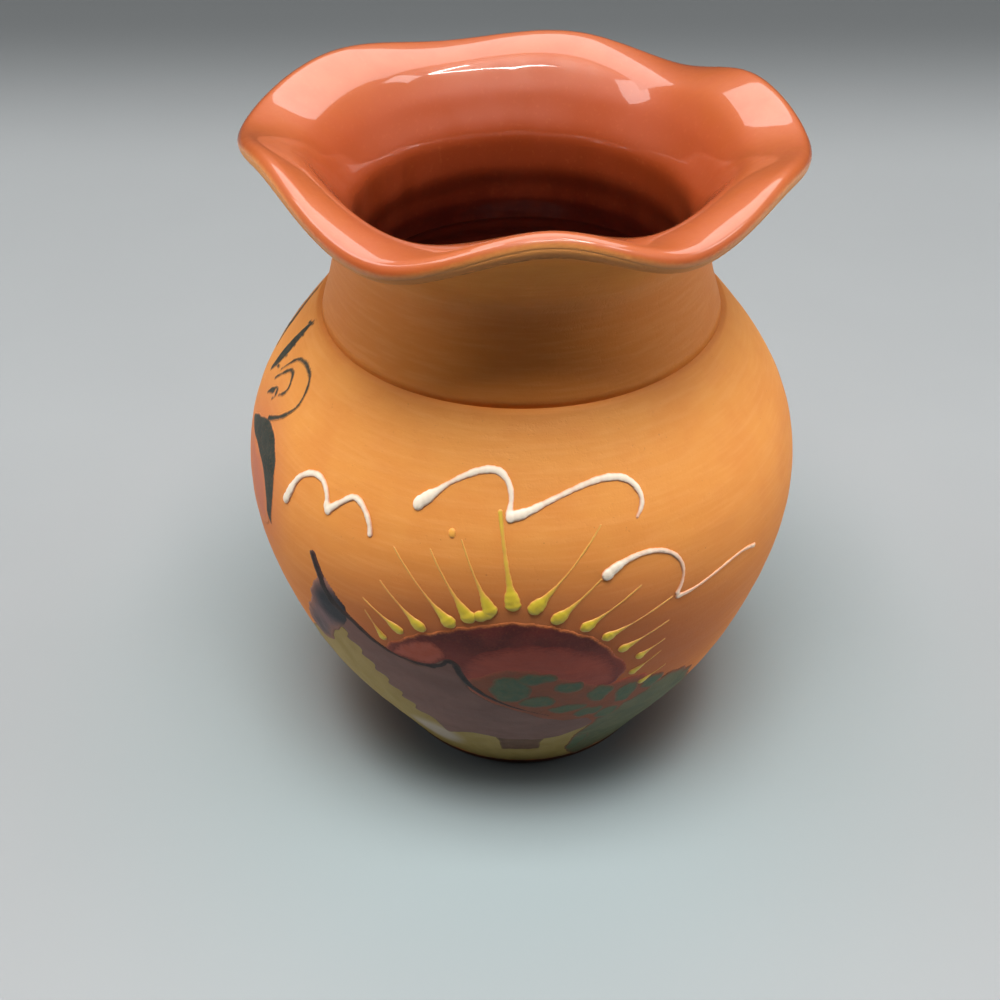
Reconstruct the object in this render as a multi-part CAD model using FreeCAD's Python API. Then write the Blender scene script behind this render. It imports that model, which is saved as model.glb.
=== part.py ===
"""Hand-built vase: thrown belly, ruffled collar luted on at the shoulder, slip-trailed and painted scene.

Millimetres. +Z is up, the origin is the centre of the face it stands on, and -Y is the painted front.
Places on the belly wall are given as (azimuth in degrees from +X, height in mm).
"""
import FreeCAD, Part
import math
import os

V = FreeCAD.Vector
UP = V(0, 0, 1)

# ---- driving dimensions -------------------------------------------------------------------------
BASE_RADIUS = 28.0
FOOT_ROUND = 1.5            # rounding between the wall and the face it stands on
SHOULDER_Z = 98.5           # height of the crease where the collar is luted on
SHOULDER_RADIUS = 38.2
WALL = 4.0
FLOOR_Z = 6.0
FLOOR_RADIUS = 20.0
# (height, radius) down the belly wall, from the foot to the crease
BELLY = [(FOOT_ROUND, BASE_RADIUS), (12, 34.5), (28, 44), (44.5, 50.5), (61.5, 54), (77, 52),
         (88.5, 46), (SHOULDER_Z, SHOULDER_RADIUS)]

LIP_HALF_WALL = 1.9
NECK_HALF_WALL = 2.2
NECK_FOOT_RADIUS = 35.2     # middle of the collar's wall where it sits on the shoulder
THROAT_RADIUS = NECK_FOOT_RADIUS - NECK_HALF_WALL
# (part of the way up the collar, radius of the middle of its wall)
NECK = [(0.0, NECK_FOOT_RADIUS), (0.14, 33.6), (0.32, 32.4), (0.5, 33.2), (0.68, 36.0), (0.86, 41.0),
        (1.0, 46.5)]
RUFFLE_GROWTH = 2.4         # how late the ruffle sets in on the way up the collar
# the lip, pinched into six lobes that dip and six crests between them: (azimuth, radius, height)
RIM = [(-3, 48.5, 129.5), (26, 46.5, 132), (50, 47.5, 127.2), (74, 46, 130.2), (110, 44.5, 129.7),
       (140, 46, 132.5), (176, 48, 129.5), (203, 45, 133), (245, 48, 128), (276, 47.5, 134.5),
       (301, 47.5, 128.5), (332, 47, 131.5)]

GLAZE = 0.3
GLAZE_TOP = 0.94            # the glaze stops this far up the collar, short of the lip
PAINT = 0.25                # built-up thickness of a brushed coat
BEAD_FLATNESS = 0.75        # height of a trailed bead of slip against half its width
BEAD_POINTS = 8
NOSE_REACH = 0.8            # how far a bead's nose runs past its end, and how wide it is there,
NOSE_WIDTH = 0.35           # both as shares of half the bead's width

RING_POINTS = 60
SLOPE_STEP = 0.01           # part of the collar's climb over which its slope is taken
CLIMB = [0, 0.14, 0.3, 0.46, 0.62, 0.76, 0.88]      # where the collar's sections lie, below its top one
SEW_GAP = 1e-3              # largest gap closed when faces are sewn into a solid
FLAT_ENOUGH = 0.01          # height error within which an edge counts as lying in the foot's plane


# ---- the belly wall as a surface ----------------------------------------------------------------
def meridian(points):
    curve = Part.BSplineCurve()
    curve.interpolate([V(radius, 0, z) for z, radius in points])
    return curve


def parameter_at(curve, z):
    low, high = curve.FirstParameter, curve.LastParameter
    for _ in range(50):
        middle = (low + high) / 2
        if curve.value(middle).z < z:
            low = middle
        else:
            high = middle
    return (low + high) / 2


WALL_CURVE = meridian(BELLY)


def wall_radius(z):
    return WALL_CURVE.value(parameter_at(WALL_CURVE, z)).x


def offset_point(curve, z, distance):
    """Point (height, radius) that lies a distance outside a meridian, square to it."""
    parameter = parameter_at(curve, z)
    point = curve.value(parameter)
    along = curve.tangent(parameter)[0]
    return point.z - along.x * distance, point.x + along.z * distance


def on_wall(azimuth, z):
    radius = wall_radius(z)
    angle = math.radians(azimuth)
    return V(radius * math.cos(angle), radius * math.sin(angle), z)


def outward(azimuth, z):
    along = WALL_CURVE.tangent(parameter_at(WALL_CURVE, z))[0]
    angle = math.radians(azimuth)
    return V(along.z * math.cos(angle), along.z * math.sin(angle), -along.x)


def line(a, b):
    return Part.LineSegment(a, b).toShape()


def turned(edges):
    return Part.Face(Part.Wire(edges)).revolve(V(0, 0, 0), UP, 360)


# ---- clay ---------------------------------------------------------------------------------------
INNER_HEIGHTS = [z for z, _ in BELLY[1:-1]]


def inner_meridian(inset):
    """Inside of the belly, a wall's thickness in, from the floor to the throat."""
    middle = [offset_point(WALL_CURVE, z, -WALL - inset) for z in INNER_HEIGHTS]
    floor = (FLOOR_Z + inset, FLOOR_RADIUS)
    throat = (SHOULDER_Z, THROAT_RADIUS - inset)
    return meridian([floor] + middle + [throat])


def foot_edges():
    lower = V(BASE_RADIUS - FOOT_ROUND, 0, 0)
    upper = V(BASE_RADIUS, 0, FOOT_ROUND)
    bulge = FOOT_ROUND * (1 - math.sqrt(0.5))
    corner = Part.Arc(lower, V(BASE_RADIUS - bulge, 0, bulge), upper).toShape()
    return [line(V(0, 0, 0), lower), corner]


def belly_shell():
    inner = inner_meridian(0)
    edges = foot_edges() + [WALL_CURVE.toShape()]
    edges.append(line(V(SHOULDER_RADIUS, 0, SHOULDER_Z), V(THROAT_RADIUS, 0, SHOULDER_Z)))
    edges.append(inner.toShape())
    edges.append(line(V(FLOOR_RADIUS, 0, FLOOR_Z), V(0, 0, FLOOR_Z)))
    edges.append(line(V(0, 0, FLOOR_Z), V(0, 0, 0)))
    return turned(edges)


def solid_belly():
    """The belly with its hollow filled, which trims whatever lies on the wall."""
    top = V(0, 0, SHOULDER_Z)
    edges = foot_edges() + [WALL_CURVE.toShape(), line(V(SHOULDER_RADIUS, 0, SHOULDER_Z), top)]
    edges.append(line(top, V(0, 0, 0)))
    return turned(edges)


def belly_lining():
    outer, inner = inner_meridian(0), inner_meridian(GLAZE)
    edges = [outer.toShape(), inner.toShape()]
    edges.append(line(V(THROAT_RADIUS, 0, SHOULDER_Z), V(THROAT_RADIUS - GLAZE, 0, SHOULDER_Z)))
    edges.append(line(V(FLOOR_RADIUS, 0, FLOOR_Z), V(0, 0, FLOOR_Z)))
    edges.append(line(V(0, 0, FLOOR_Z), V(0, 0, FLOOR_Z + GLAZE)))
    edges.append(line(V(0, 0, FLOOR_Z + GLAZE), V(FLOOR_RADIUS, 0, FLOOR_Z + GLAZE)))
    return turned(Part.__sortEdges__(edges))


def periodic_curve(points):
    curve = Part.BSplineCurve()
    curve.interpolate(points, PeriodicFlag=True)
    return curve


def rim_loop():
    return periodic_curve([V(radius * math.cos(math.radians(a)), radius * math.sin(math.radians(a)), z)
                           for a, radius, z in RIM])


def rim_samples():
    """The lip's middle line as (angle, radius, height), evenly spaced round it."""
    loop = rim_loop()
    first, last = loop.FirstParameter, loop.LastParameter
    samples = []
    for i in range(RING_POINTS):
        point = loop.value(first + (last - first) * i / RING_POINTS)
        samples.append((math.atan2(point.y, point.x), math.hypot(point.x, point.y), point.z))
    return samples


RIM_SAMPLES = rim_samples()
NECK_CURVE = Part.BSplineCurve()
NECK_CURVE.interpolate([V(radius, 0, t) for t, radius in NECK])


def collar_middle(t, lip_radius, lip_z):
    """Radius and height of the middle of the collar's wall, t of the way up, below one lip point."""
    plain = NECK_CURVE.value(parameter_at(NECK_CURVE, t)).x
    radius = plain + (lip_radius - NECK[-1][1]) * t ** RUFFLE_GROWTH
    return radius, SHOULDER_Z + (lip_z - SHOULDER_Z) * t


def collar_ring(t, side, depth=0.0):
    """Ring round the collar. side runs from +90 degrees, outside, over the lip to -90, inside."""
    half_wall = NECK_HALF_WALL + (LIP_HALF_WALL - NECK_HALF_WALL) * t - depth
    points = []
    for angle, lip_radius, lip_z in RIM_SAMPLES:
        radius, z = collar_middle(t, lip_radius, lip_z)
        below = (radius, z - 1)
        if t > SLOPE_STEP:
            below = collar_middle(t - SLOPE_STEP, lip_radius, lip_z)
        run, rise = radius - below[0], z - below[1]
        length = math.hypot(run, rise)
        run, rise = run / length, rise / length
        out = math.sin(math.radians(side)) * half_wall
        over = math.cos(math.radians(side)) * half_wall
        radius += rise * out + run * over
        z += rise * over - run * out
        points.append(V(radius * math.cos(angle), radius * math.sin(angle), z))
    return Part.Wire(periodic_curve(points).toShape())


def ring_edge(skin, z, pick):
    """The skin's level edge at height z that pick prefers, by its width."""
    level = [edge for edge in skin.Edges
             if abs(edge.BoundBox.ZMin - z) < FLAT_ENOUGH and abs(edge.BoundBox.ZMax - z) < FLAT_ENOUGH]
    return pick(level, key=lambda edge: edge.BoundBox.XLength)


def sewn_solid(faces):
    band = Part.Compound(faces)
    band.sewShape()
    solid = Part.Solid(band.Shells[0])
    solid.fix(SEW_GAP, SEW_GAP, SEW_GAP)
    if solid.Volume < 0:
        solid.reverse()
    return solid


def neck_collar():
    climb = CLIMB + [1.0]
    rings = [collar_ring(t, 90) for t in climb]
    rings += [collar_ring(1.0, side) for side in (45, 0, -45)]
    rings += [collar_ring(t, -90) for t in reversed(climb)]
    skin = Part.makeLoft(rings, False, False)
    foot = Part.Face([Part.Wire(ring_edge(skin, SHOULDER_Z, pick)) for pick in (max, min)])
    return sewn_solid(skin.Faces + [foot])


def collar_lining():
    """Glaze inside the collar: a skin on the clay, a skin a coat's thickness in, and two flat ends."""
    skins = [Part.makeLoft([collar_ring(t, -90, -depth) for t in CLIMB + [GLAZE_TOP]], False, False)
             for depth in (0, GLAZE)]
    foot = Part.Face([Part.Wire(ring_edge(skin, SHOULDER_Z, max)) for skin in skins])
    tops = [max(skin.Edges, key=lambda edge: edge.BoundBox.ZMin) for skin in skins]
    return sewn_solid(skins[0].Faces + skins[1].Faces + [foot, Part.makeRuledSurface(*tops)])


def inner_glaze():
    return Part.makeCompound([belly_lining(), collar_lining()])


# ---- beads of trailed slip ----------------------------------------------------------------------
def bead_section(centre, side, out, half_width):
    points = []
    for i in range(BEAD_POINTS):
        turn = 2 * math.pi * i / BEAD_POINTS
        points.append(centre + side * (half_width * math.cos(turn))
                      + out * (half_width * BEAD_FLATNESS * math.sin(turn)))
    return Part.Wire(periodic_curve(points).toShape())


def bead(path):
    """Tapering bead laid along (azimuth, height, half width) points, flat side on the wall."""
    centres = [on_wall(a, z) for a, z, _ in path]
    spine = Part.BSplineCurve()
    spine.interpolate(centres)
    sections = []
    last = len(path) - 1
    for i, (a, z, half_width) in enumerate(path):
        along = spine.tangent(spine.parameter(centres[i]))[0]
        out = outward(a, z)
        side = along.cross(out)
        reach = along * (NOSE_REACH * half_width)
        if i == 0:
            sections.append(bead_section(centres[i] - reach, side, out, NOSE_WIDTH * half_width))
        sections.append(bead_section(centres[i], side, out, half_width))
        if i == last:
            sections.append(bead_section(centres[i] + reach, side, out, NOSE_WIDTH * half_width))
    return Part.makeLoft(sections, True, False)


def blob(azimuth, z, radius):
    return Part.makeSphere(radius, on_wall(azimuth, z))


def flying_bird(left_wing, right_wing, body):
    """Two arched wings that meet in a drop of slip."""
    return bead(left_wing).fuse(bead(right_wing)).fuse(blob(*body))


# ---- brushed coats ------------------------------------------------------------------------------
def wall_skin(thickness):
    outer = meridian([offset_point(WALL_CURVE, z, thickness) for z, _ in BELLY])
    ends = [line(curve_end(WALL_CURVE, end), curve_end(outer, end)) for end in (0, 1)]
    return turned(Part.__sortEdges__([WALL_CURVE.toShape(), outer.toShape()] + ends))


def curve_end(curve, end):
    return curve.value(curve.LastParameter if end else curve.FirstParameter)


def flat_place(azimuth, z, facing):
    """Where a place on the wall falls on an upright plane that faces one azimuth."""
    return V(wall_radius(z) * math.sin(math.radians(azimuth - facing)), z, 0)


def lifted(flat, facing):
    angle = math.radians(facing)
    across = V(-math.sin(angle), math.cos(angle), 0)
    return across * flat.x + UP * flat.y


def smooth_edge(points, closed=False):
    curve = Part.BSplineCurve()
    curve.interpolate(points, PeriodicFlag=closed)
    return curve.toShape()


def coat(edges, facing):
    """Brushed coat inside an outline that was drawn on the upright plane."""
    angle = math.radians(facing)
    reach = V(math.cos(angle), math.sin(angle), 0) * (2 * max(radius for _, radius in BELLY))
    return Part.Face(Part.Wire(edges)).extrude(reach).common(PAINT_SKIN)


def smooth_coat(outline, facing):
    points = [lifted(flat_place(a, z, facing), facing) for a, z in outline]
    return coat([smooth_edge(points, closed=True)], facing)


def straight_coat(outline, facing):
    points = [lifted(flat_place(a, z, facing), facing) for a, z in outline]
    return coat([line(a, b) for a, b in zip(points, points[1:] + points[:1])], facing)


def stroke(path, facing):
    """Brush stroke along (azimuth, height, half width) points."""
    flat = [flat_place(a, z, facing) for a, z, _ in path]
    spine = Part.BSplineCurve()
    spine.interpolate(flat)
    left, right = [], []
    for point, (_, _, half_width) in zip(flat, path):
        along = spine.tangent(spine.parameter(point))[0]
        side = V(-along.y, along.x, 0) * half_width
        left.append(lifted(point + side, facing))
        right.append(lifted(point - side, facing))
    edges = [smooth_edge(left), line(left[-1], right[-1]), smooth_edge(right), line(right[0], left[0])]
    return coat(Part.__sortEdges__(edges), facing)


def dab(azimuth, z, half_width, half_height):
    """Oval touch of the brush, half_width in degrees and half_height in mm."""
    turns = [math.radians(turn) for turn in range(0, 360, 45)]
    ring = [(azimuth + half_width * math.cos(turn), z + half_height * math.sin(turn)) for turn in turns]
    return smooth_coat(ring, azimuth)


def scallops(start, end, count, depth):
    """Points of a wavy edge from start to end, with count bulges of depth degrees."""
    points = []
    run, rise = end[0] - start[0], end[1] - start[1]
    for i in range(2 * count):
        part = i / (2 * count)
        push = depth if i % 2 else 0
        points.append((start[0] + run * part + push, start[1] + rise * part))
    return points


PAINT_SKIN = wall_skin(PAINT)

# ---- the painted scene --------------------------------------------------------------------------
FRONT = -95
SUN_FACING = -92
HOUSE_FACING = -108
SIDE_WALL_FACING = -128
RIDGE_FACING = -122
ROOF_SHADOW_FACING = -134
SIDE_GLOW_FACING = -111
LAND_FACING = -77
MEADOW_FACING = -57
SCROLL_FACING = -166
SCROLL_MIRROR = -180        # the scroll is repeated on the other side of this azimuth

RAYS = [  # head (azimuth, height), tail (azimuth, height), half width of the head
    ((-119, 55), (-122.5, 59.5), 1.0), ((-114.5, 58), (-122, 63), 1.1), ((-109, 61), (-117, 68.5), 1.1),
    ((-103, 64), (-114, 74.5), 1.1), ((-99, 65.5), (-106.5, 76), 1.2), ((-95.5, 67.5), (-101.5, 79), 1.3),
    ((-91.5, 69.5), (-94.3, 84.5), 1.4), ((-87.5, 68.5), (-74.5, 81.5), 1.2), ((-83.5, 66), (-75, 72), 1.2),
    ((-78, 63.5), (-67.5, 69), 1.1), ((-73, 60), (-61, 64.5), 1.1), ((-69.5, 56), (-60.5, 59), 1.0),
    ((-65.5, 51.5), (-61, 54), 1.0), ((-65.5, 46.5), (-61, 49), 1.0), ((-62.5, 41.5), (-58.5, 42.5), 1.0)]
RAY_TAIL = 0.3              # half width at the end of a ray's tail
RAY_WAIST = 0.45            # half width midway along a ray, as a share of its head's
SLIP_LINE = 0.7             # half width of a bird's line
BRIDGE_DROP = 1.3           # how far the bridge hangs below the heads it joins
BRIDGE_HALF_WIDTH = 0.7
STRAY_DROP = (-103.4, 81.2, 0.7)
SCALLOP_COUNT = 6           # bulges of the roof's left eave, and how far they stand out, in degrees
SCALLOP_DEPTH = 1.6


def ray(head, tail, half_width):
    middle = ((head[0] + tail[0]) / 2, (head[1] + tail[1]) / 2, half_width * RAY_WAIST)
    return bead([(head[0], head[1], half_width), middle, (tail[0], tail[1], RAY_TAIL)])


def wing(points, first=SLIP_LINE, last=SLIP_LINE):
    widths = [first] + [SLIP_LINE] * (len(points) - 2) + [last]
    return [(a, z, width) for (a, z), width in zip(points, widths)]


def slip_beads():
    beads = {}
    beads["bird_left"] = flying_bird(
        wing([(-144, 74.5), (-142, 79), (-138.5, 81.8), (-134.5, 82.3), (-132, 80), (-131.5, 77.8)], 1.1),
        wing([(-131.3, 77.8), (-129, 80), (-125.5, 82.2), (-122.3, 81), (-120.3, 77.3)]),
        (-131.5, 77.8, 1.1))
    beads["bird_middle"] = flying_bird(
        wing([(-111.5, 84.2), (-108, 86.6), (-103, 89.4), (-97.3, 90.8), (-92.8, 89.6), (-92, 87.3),
              (-92.6, 84)], 1.2),
        wing([(-92.4, 84), (-86.3, 85.8), (-78, 88), (-69.5, 88.4), (-65.5, 86.4), (-65, 84), (-67, 81.6)],
             last=0.4), (-92.6, 84, 1.0))
    beads["bird_right"] = flying_bird(
        wing([(-74.5, 73), (-70.5, 75), (-66, 75.9), (-61, 74.6), (-58.2, 71), (-58.6, 67.2),
              (-59.6, 65)], 1.2),
        wing([(-59.4, 65), (-55.5, 64.8), (-49, 66.2), (-42, 66.6), (-37, 65.2)], last=0.9),
        (-59.6, 65, 1.0))
    for number, (head, tail, half_width) in enumerate(RAYS, start=1):
        beads["sun_ray_%02d" % number] = ray(head, tail, half_width)
    joined_heads = (RAYS[4][0], RAYS[5][0])
    beads["sun_ray_bridge"] = bead([(a, z - BRIDGE_DROP, BRIDGE_HALF_WIDTH) for a, z in joined_heads])
    beads["stray_slip_drop"] = blob(*STRAY_DROP)
    return beads


def mirrored(shape):
    """The same coat on the other side of the scroll's middle plane."""
    angle = math.radians(SCROLL_MIRROR + 90)
    return shape.mirror(V(0, 0, 0), V(math.cos(angle), math.sin(angle), 0))


def scroll_coats():
    curls = {
        "scroll_outer_curl": [(-168, 88.5, 0.5), (-163.5, 92.5, 0.6), (-157, 93.6, 0.6),
                              (-152.3, 92.4, 0.6), (-151.5, 89.5, 0.6), (-155, 85.5, 0.6), (-161, 82, 0.6)],
        "scroll_middle_curl": [(-168.5, 86.6, 0.5), (-165, 89.3, 0.6), (-160.5, 90.6, 0.7),
                               (-159, 88.8, 0.7), (-161.7, 86.3, 0.5)],
        "scroll_inner_curl": [(-168.5, 83.6, 0.4), (-166, 85.2, 0.9), (-163.2, 86, 0.9), (-164, 84.4, 0.5)],
        "scroll_feather": [(-169, 97, 0.8), (-171, 93.5, 2.2), (-172.5, 89.5, 2.4), (-175, 85.5, 1.0)]}
    coats = {name: stroke(path, SCROLL_FACING) for name, path in curls.items()}
    coats["scroll_leaf"] = smooth_coat(
        [(-172, 76.5), (-165, 81), (-158, 82.3), (-152.5, 80), (-150, 75.5), (-150.5, 69.5), (-152.5, 69),
         (-155, 73), (-159, 75.8), (-165, 75.5)], SCROLL_FACING)
    coats["scroll_petal"] = smooth_coat(
        [(-170, 74.5), (-165, 75), (-159, 75.3), (-155, 72.5), (-152.8, 68), (-155, 64), (-160, 65),
         (-166, 69.5)], SCROLL_FACING)
    return {name: Part.makeCompound([shape, mirrored(shape)]) for name, shape in coats.items()}


def scene_coats():
    """Brushed coats of the scene, uppermost first."""
    left_eave = scallops((-130.5, 52.5), (-114, 27.5), SCALLOP_COUNT, SCALLOP_DEPTH)
    eave = [(-112, 25.5), (-103, 25), (-94, 25.2), (-85, 25), (-76, 26)]
    coats = {}
    coats["roof_ridge"] = stroke(
        [(-134, 67.6, 1.3), (-133, 64.5, 0.9), (-131.4, 60.5, 1.6), (-128.5, 56, 1.1), (-124, 52.4, 0.6),
         (-117, 49.6, 0.5), (-110.5, 50.4, 0.5)], RIDGE_FACING)
    coats["roof_gable_line"] = stroke(
        [(-109.5, 50.6, 0.5), (-106.5, 52.3, 1.0), (-104.3, 53, 1.3), (-102, 50, 0.8), (-98.5, 44, 0.6),
         (-94, 40.2, 0.5), (-88, 37, 0.5), (-82, 34.6, 0.3)], FRONT)
    coats["roof_shadow"] = smooth_coat(
        [(-131.5, 61), (-133.5, 57), (-138, 51), (-141, 45.5), (-137, 45.5), (-133, 49.5), (-130, 54.5),
         (-129.4, 57.5)], ROOF_SHADOW_FACING)
    coats["door"] = straight_coat([(-97, 25.5), (-84, 25.5), (-84, 10), (-97, 10)], FRONT)
    coats["roof"] = smooth_coat(
        left_eave + eave + [(-74, 29.5), (-79.5, 33), (-85, 35.6), (-90.5, 38), (-95.5, 41.2), (-100, 46.5),
                            (-104.3, 51.5), (-109, 50), (-115, 49.3), (-122, 51), (-128, 55)], HOUSE_FACING)
    coats["sun_glow"] = smooth_coat(
        [(-100, 48.5), (-96, 51), (-90.5, 52.3), (-85, 51.5), (-79.5, 48), (-74, 45.5), (-70.6, 47.5),
         (-73.5, 51.5), (-79, 55), (-86, 57.3), (-93, 57.5), (-99, 54.5), (-101.5, 51)], SUN_FACING)
    coats["sun_side_glow"] = smooth_coat(
        [(-116, 51), (-112, 50.2), (-108, 51.3), (-105.5, 54.2), (-108.5, 57), (-113.5, 55.8)],
        SIDE_GLOW_FACING)
    coats["sun_disc"] = smooth_coat(
        [(-116.5, 53), (-112, 57.7), (-106, 60.6), (-99, 63.6), (-91, 65), (-83, 63.8), (-76, 60),
         (-71.5, 54.5), (-70.3, 48.5), (-73.5, 48.5), (-80, 51.5), (-88, 54), (-96, 53), (-102, 50.5),
         (-109, 50.5)],
        SUN_FACING)
    dabs = [dab(-91.5, 46, 5, 5), dab(-80.5, 46, 3, 2.2), dab(-73, 42.3, 2.2, 3), dab(-86, 40.5, 3, 2.6),
            dab(-79, 35.4, 4, 2), dab(-66, 37.5, 3, 4), dab(-58, 37.5, 2.5, 3)]
    coats["foliage_dabs"] = Part.makeCompound(dabs)
    coats["meadow"] = smooth_coat(
        [(-73.5, 24), (-70, 31), (-62, 35), (-53, 37), (-46, 33), (-41, 24), (-41, 12), (-46, 5), (-58, 4),
         (-67, 5), (-71.5, 14)], MEADOW_FACING)
    coats["ground"] = smooth_coat(
        [(-99, 45), (-92, 51), (-84, 50), (-75, 45), (-67, 45), (-60, 41), (-54, 36), (-60, 30), (-73, 27),
         (-82, 33), (-91, 37.5)], LAND_FACING)
    coats["front_wall"] = smooth_coat(
        [(-112, 25.5), (-103, 26.5), (-93, 26.5), (-83, 26.5), (-75, 25), (-72, 15), (-68.5, 5), (-80, 3.5),
         (-95, 3.5), (-110, 3.5), (-118, 5), (-115, 15)], FRONT)
    coats["side_wall"] = smooth_coat(
        [(-131.5, 51), (-126, 40), (-120, 32), (-113, 26), (-114, 14), (-117, 4.5), (-127, 5), (-136, 8),
         (-141, 18), (-141, 30), (-137, 41)], SIDE_WALL_FACING)
    return coats


def settle(coats):
    """Trim each coat back to what the coats above it leave."""
    laid = {}
    for name, shape in coats.items():
        for upper in laid.values():
            if shape.BoundBox.intersect(upper.BoundBox):
                shape = shape.cut(upper)
        laid[name] = shape
    return laid


def main():
    os.makedirs("parts", exist_ok=True)
    nodes = {"belly_shell": belly_shell(), "neck_collar": neck_collar(), "inner_glaze": inner_glaze()}
    coats = settle({**scene_coats(), **scroll_coats()})
    core = solid_belly()
    for name, shape in slip_beads().items():
        shape = shape.cut(core)
        for coat_shape in coats.values():
            if shape.BoundBox.intersect(coat_shape.BoundBox):
                shape = shape.cut(coat_shape)
        nodes[name] = shape
    nodes.update(coats)
    for name, shape in nodes.items():
        shape.exportStep("parts/%s.step" % name)
        print("%-20s solids %d  volume %9.2f mm3  valid %s" % (
            name, len(shape.Solids), sum(s.Volume for s in shape.Solids), shape.isValid()))


main()
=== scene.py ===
"""Looks of the painted vase: thrown belly, ruffled collar, poured glaze, brushed scene, trailed slip."""

import math

import bpy
import numpy as np
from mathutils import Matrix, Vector


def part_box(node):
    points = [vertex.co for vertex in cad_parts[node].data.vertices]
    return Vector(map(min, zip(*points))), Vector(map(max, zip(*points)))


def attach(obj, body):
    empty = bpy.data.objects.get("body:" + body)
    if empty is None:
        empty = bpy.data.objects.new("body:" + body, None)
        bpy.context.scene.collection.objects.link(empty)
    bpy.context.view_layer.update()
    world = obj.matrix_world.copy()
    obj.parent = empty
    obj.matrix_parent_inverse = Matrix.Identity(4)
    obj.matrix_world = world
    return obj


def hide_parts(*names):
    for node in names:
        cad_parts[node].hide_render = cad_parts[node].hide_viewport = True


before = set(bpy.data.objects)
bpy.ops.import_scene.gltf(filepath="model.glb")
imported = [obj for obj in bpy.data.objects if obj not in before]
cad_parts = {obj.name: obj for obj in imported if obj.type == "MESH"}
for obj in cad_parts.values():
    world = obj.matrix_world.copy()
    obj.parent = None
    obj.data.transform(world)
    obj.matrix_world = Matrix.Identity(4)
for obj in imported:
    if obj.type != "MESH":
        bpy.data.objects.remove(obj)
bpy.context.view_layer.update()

# ---- sizes, in metres; the belly's height and widest radius read from model.glb ----
MM = 0.001
belly_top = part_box("belly_shell")[1]
SHOULDER_Z = belly_top.z
BELLY_RADIUS = belly_top.x
MM_PER_DEGREE = math.pi / 180 * BELLY_RADIUS / MM     # along the wall, at its widest
FOOT_ROUND = 1.5 * MM
WALL = 4.0 * MM
FLOOR_Z = 6.0 * MM
GLAZE = 0.3 * MM

# the belly's wall as shares of its height and of its widest radius
BELLY_SHAPE = [(0.015, 0.519), (0.122, 0.639), (0.284, 0.815), (0.452, 0.935), (0.624, 1.0),
               (0.782, 0.963), (0.898, 0.852), (1.0, 0.707)]
# the middle of the collar's wall: share of the way up, radius
NECK = [(0.0, 35.2), (0.14, 33.6), (0.32, 32.4), (0.5, 32.8), (0.68, 36.3), (0.86, 40.4), (1.0, 46.5)]
REACH = 37.7 * MM           # height the collar's wall would gain if its lip were not rolled over
ROLL = 5.3                  # how late the lip rolls over on the way up the collar
NECK_HALF_WALL = 2.2 * MM
LIP_HALF_WALL = 1.9 * MM
UNEVEN_LIP = 0.12 * MM
CLIMB_STEP = 0.01           # part of the collar's climb over which its slope is taken
RUFFLE_GROWTH = 4.0         # how late the ruffle sets in
# the lip's lobes and crests: azimuth, radius, height
RIM = [(-3, 48.5, 129.5), (26, 46.5, 132), (50, 47.5, 127.2), (74, 46, 130.2), (110, 44.5, 129.7),
       (140, 46, 132.5), (176, 48, 129.5), (203, 45, 133), (245, 48, 128), (276, 47.5, 134.5),
       (301, 47.5, 128.5), (332, 47, 131.5)]

AROUND = 288                # columns of the clay meshes
NEIGHBOURS = [(j, (j + 1) % AROUND) for j in range(AROUND)]
SLOPE_STEP = 0.3 * MM       # height over which the wall's slope is taken
SUNK = 0.12                 # how far, in mm, paint and slip reach under the wall's surface


# ---- curves ----
def spline(points, closed=False):
    """Cubic spline through the points. Returns a function of the share of the way along, 0 to 1."""
    p = np.asarray(points, float)
    if closed:
        p = np.vstack([p, p[:1]])
    s = np.concatenate([[0], np.cumsum(np.linalg.norm(np.diff(p, axis=0), axis=1))])
    n, h = len(p), np.diff(s)
    slope = np.diff(p, axis=0) / h[:, None]
    a, b = np.zeros((n, n)), np.zeros_like(p)
    for i in range(1, n - 1):
        a[i, i - 1:i + 2] = h[i - 1], 2 * (h[i - 1] + h[i]), h[i]
        b[i] = 6 * (slope[i] - slope[i - 1])
    if closed:
        a[0, 0], a[0, 1], a[0, n - 2] = 2 * (h[-1] + h[0]), h[0], h[-1]
        b[0] = 6 * (slope[0] - slope[-1])
        a[n - 1, 0], a[n - 1, n - 1] = 1, -1
    else:
        a[0, 0] = a[n - 1, n - 1] = 1
    m = np.linalg.solve(a, b)

    def at(t):
        x = np.atleast_1d(np.asarray(t, float)) * s[-1]
        i = np.clip(np.searchsorted(s, x, side="right") - 1, 0, n - 2)
        left, right, step = (s[i + 1] - x)[:, None], (x - s[i])[:, None], h[i][:, None]
        return (m[i] * left ** 3 + m[i + 1] * right ** 3) / (6 * step) \
            + (p[i] / step - m[i] * step / 6) * left + (p[i + 1] / step - m[i + 1] * step / 6) * right
    return at


def table(curve, key, value, samples=600):
    """The spline as a function from one of its coordinates, which only grows, to another."""
    at = curve(np.linspace(0, 1, samples))
    return lambda x: np.interp(x, at[:, key], at[:, value])


wall_profile = table(spline([(r * BELLY_RADIUS, z * SHOULDER_Z) for z, r in BELLY_SHAPE]), 1, 0)
neck_profile = table(spline([(t * REACH / MM, r) for t, r in NECK]), 0, 1)


def smooth_step(x, low, high):
    t = np.clip((x - low) / (high - low), 0, 1)
    return t * t * (3 - 2 * t)


def waves(x, y, scale, seed):
    """Soft deterministic unevenness, about -1 to 1, at a scale in the units of x and y."""
    total = 0
    for k in range(5):
        turn, push = 2.4 * k + seed, 1.7 * k * seed + 0.3 * k
        total = total + np.sin((x * math.cos(turn) + y * math.sin(turn)) / scale * (1 + 0.35 * k) + push)
    return total / 3


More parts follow.
